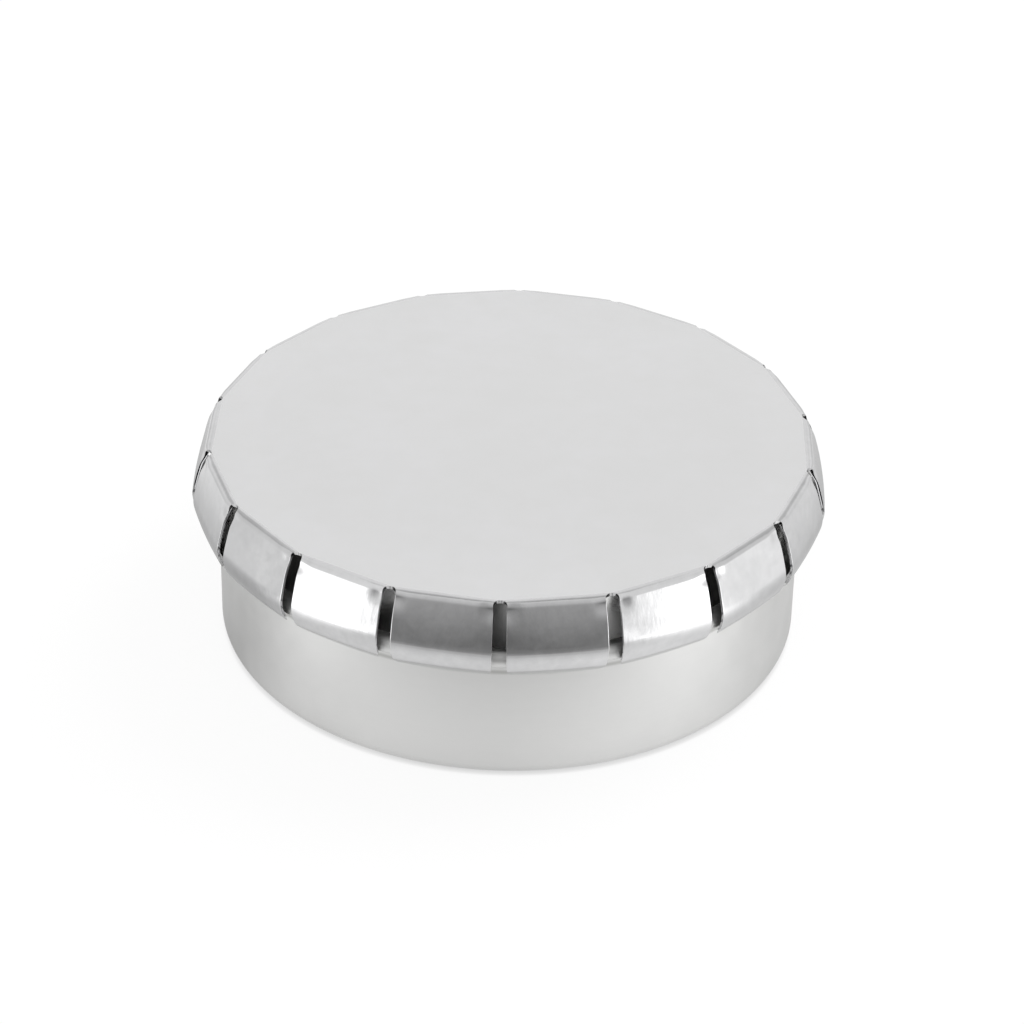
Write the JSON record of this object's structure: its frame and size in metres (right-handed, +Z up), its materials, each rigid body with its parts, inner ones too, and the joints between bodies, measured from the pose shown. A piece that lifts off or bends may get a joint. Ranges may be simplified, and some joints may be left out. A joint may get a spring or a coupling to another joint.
{
  "type": "mint tin",
  "caption": "Shallow round metal tin with a press lid: pushing the domed middle swings the slit skirt's tabs outward so the lid lifts off the rolled rim.",
  "frame": {"origin": "centre of the base, on the surface the tin stands on", "axes": "+Z up along the tin's axis, with a slit of the lid pointing to -Y and a tab's middle to +X"},
  "size_m": [0.0486, 0.0492, 0.0163],
  "materials": {
    "body_metal": "satin tinplate",
    "panel_metal": "satin tinplate",
    "tab_metal": "bright tinplate"
  },
  "bodies": {
    "tin_body": {"tin_body": "body_metal"},
    "lid": {"lid_panel": "panel_metal"},
    "lid_centre": {"lid_centre": "panel_metal"},
    "tab_01": {"tab_01": "tab_metal"},
    "tab_02": {"tab_02": "tab_metal"},
    "tab_03": {"tab_03": "tab_metal"},
    "tab_04": {"tab_04": "tab_metal"},
    "tab_05": {"tab_05": "tab_metal"},
    "tab_06": {"tab_06": "tab_metal"},
    "tab_07": {"tab_07": "tab_metal"},
    "tab_08": {"tab_08": "tab_metal"},
    "tab_09": {"tab_09": "tab_metal"},
    "tab_10": {"tab_10": "tab_metal"},
    "tab_11": {"tab_11": "tab_metal"},
    "tab_12": {"tab_12": "tab_metal"},
    "tab_13": {"tab_13": "tab_metal"},
    "tab_14": {"tab_14": "tab_metal"},
    "tab_15": {"tab_15": "tab_metal"},
    "tab_16": {"tab_16": "tab_metal"},
    "tab_17": {"tab_17": "tab_metal"},
    "tab_18": {"tab_18": "tab_metal"}
  },
  "joints": [
    {"name": "lid_lift", "type": "slide", "parent": "tin_body", "child": "lid", "axis": [0, 0, 1], "range_m": [0, 0.03]},
    {"name": "lid_click", "type": "slide", "parent": "lid", "child": "lid_centre", "axis": [0, 0, -1], "range_m": [0, 0.001]},
    {"name": "tab_01_fold", "type": "hinge", "parent": "lid", "child": "tab_01", "pos_m": [0.00394, -0.02236, 0.0153], "axis": [-0.9848, -0.1736, 0], "range_deg": [0, 7]},
    {"name": "tab_02_fold", "type": "hinge", "parent": "lid", "child": "tab_02", "pos_m": [0.01135, -0.01966, 0.0153], "axis": [-0.866, -0.5, 0], "range_deg": [0, 7]},
    {"name": "tab_03_fold", "type": "hinge", "parent": "lid", "child": "tab_03", "pos_m": [0.01739, -0.01459, 0.0153], "axis": [-0.6428, -0.766, 0], "range_deg": [0, 7]},
    {"name": "tab_04_fold", "type": "hinge", "parent": "lid", "child": "tab_04", "pos_m": [0.02133, -0.00776, 0.0153], "axis": [-0.342, -0.9397, 0], "range_deg": [0, 7]},
    {"name": "tab_05_fold", "type": "hinge", "parent": "lid", "child": "tab_05", "pos_m": [0.0227, 0, 0.0153], "axis": [0, -1, 0], "range_deg": [0, 7]},
    {"name": "tab_06_fold", "type": "hinge", "parent": "lid", "child": "tab_06", "pos_m": [0.02133, 0.00776, 0.0153], "axis": [0.342, -0.9397, 0], "range_deg": [0, 7]},
    {"name": "tab_07_fold", "type": "hinge", "parent": "lid", "child": "tab_07", "pos_m": [0.01739, 0.01459, 0.0153], "axis": [0.6428, -0.766, 0], "range_deg": [0, 7]},
    {"name": "tab_08_fold", "type": "hinge", "parent": "lid", "child": "tab_08", "pos_m": [0.01135, 0.01966, 0.0153], "axis": [0.866, -0.5, 0], "range_deg": [0, 7]},
    {"name": "tab_09_fold", "type": "hinge", "parent": "lid", "child": "tab_09", "pos_m": [0.00394, 0.02236, 0.0153], "axis": [0.9848, -0.1736, 0], "range_deg": [0, 7]},
    {"name": "tab_10_fold", "type": "hinge", "parent": "lid", "child": "tab_10", "pos_m": [-0.00394, 0.02236, 0.0153], "axis": [0.9848, 0.1736, 0], "range_deg": [0, 7]},
    {"name": "tab_11_fold", "type": "hinge", "parent": "lid", "child": "tab_11", "pos_m": [-0.01135, 0.01966, 0.0153], "axis": [0.866, 0.5, 0], "range_deg": [0, 7]},
    {"name": "tab_12_fold", "type": "hinge", "parent": "lid", "child": "tab_12", "pos_m": [-0.01739, 0.01459, 0.0153], "axis": [0.6428, 0.766, 0], "range_deg": [0, 7]},
    {"name": "tab_13_fold", "type": "hinge", "parent": "lid", "child": "tab_13", "pos_m": [-0.02133, 0.00776, 0.0153], "axis": [0.342, 0.9397, 0], "range_deg": [0, 7]},
    {"name": "tab_14_fold", "type": "hinge", "parent": "lid", "child": "tab_14", "pos_m": [-0.0227, 0, 0.0153], "axis": [0, 1, 0], "range_deg": [0, 7]},
    {"name": "tab_15_fold", "type": "hinge", "parent": "lid", "child": "tab_15", "pos_m": [-0.02133, -0.00776, 0.0153], "axis": [-0.342, 0.9397, 0], "range_deg": [0, 7]},
    {"name": "tab_16_fold", "type": "hinge", "parent": "lid", "child": "tab_16", "pos_m": [-0.01739, -0.01459, 0.0153], "axis": [-0.6428, 0.766, 0], "range_deg": [0, 7]},
    {"name": "tab_17_fold", "type": "hinge", "parent": "lid", "child": "tab_17", "pos_m": [-0.01135, -0.01966, 0.0153], "axis": [-0.866, 0.5, 0], "range_deg": [0, 7]},
    {"name": "tab_18_fold", "type": "hinge", "parent": "lid", "child": "tab_18", "pos_m": [-0.00394, -0.02236, 0.0153], "axis": [-0.9848, 0.1736, 0], "range_deg": [0, 7]}
  ],
  "couplings": [
    {"joint": "tab_01_fold", "follows": "lid_click", "rad_per_m": 122.1},
    {"joint": "tab_02_fold", "follows": "lid_click", "rad_per_m": 122.1},
    {"joint": "tab_03_fold", "follows": "lid_click", "rad_per_m": 122.1},
    {"joint": "tab_04_fold", "follows": "lid_click", "rad_per_m": 122.1},
    {"joint": "tab_05_fold", "follows": "lid_click", "rad_per_m": 122.1},
    {"joint": "tab_06_fold", "follows": "lid_click", "rad_per_m": 122.1},
    {"joint": "tab_07_fold", "follows": "lid_click", "rad_per_m": 122.1},
    {"joint": "tab_08_fold", "follows": "lid_click", "rad_per_m": 122.1},
    {"joint": "tab_09_fold", "follows": "lid_click", "rad_per_m": 122.1},
    {"joint": "tab_10_fold", "follows": "lid_click", "rad_per_m": 122.1},
    {"joint": "tab_11_fold", "follows": "lid_click", "rad_per_m": 122.1},
    {"joint": "tab_12_fold", "follows": "lid_click", "rad_per_m": 122.1},
    {"joint": "tab_13_fold", "follows": "lid_click", "rad_per_m": 122.1},
    {"joint": "tab_14_fold", "follows": "lid_click", "rad_per_m": 122.1},
    {"joint": "tab_15_fold", "follows": "lid_click", "rad_per_m": 122.1},
    {"joint": "tab_16_fold", "follows": "lid_click", "rad_per_m": 122.1},
    {"joint": "tab_17_fold", "follows": "lid_click", "rad_per_m": 122.1},
    {"joint": "tab_18_fold", "follows": "lid_click", "rad_per_m": 122.1}
  ]
}
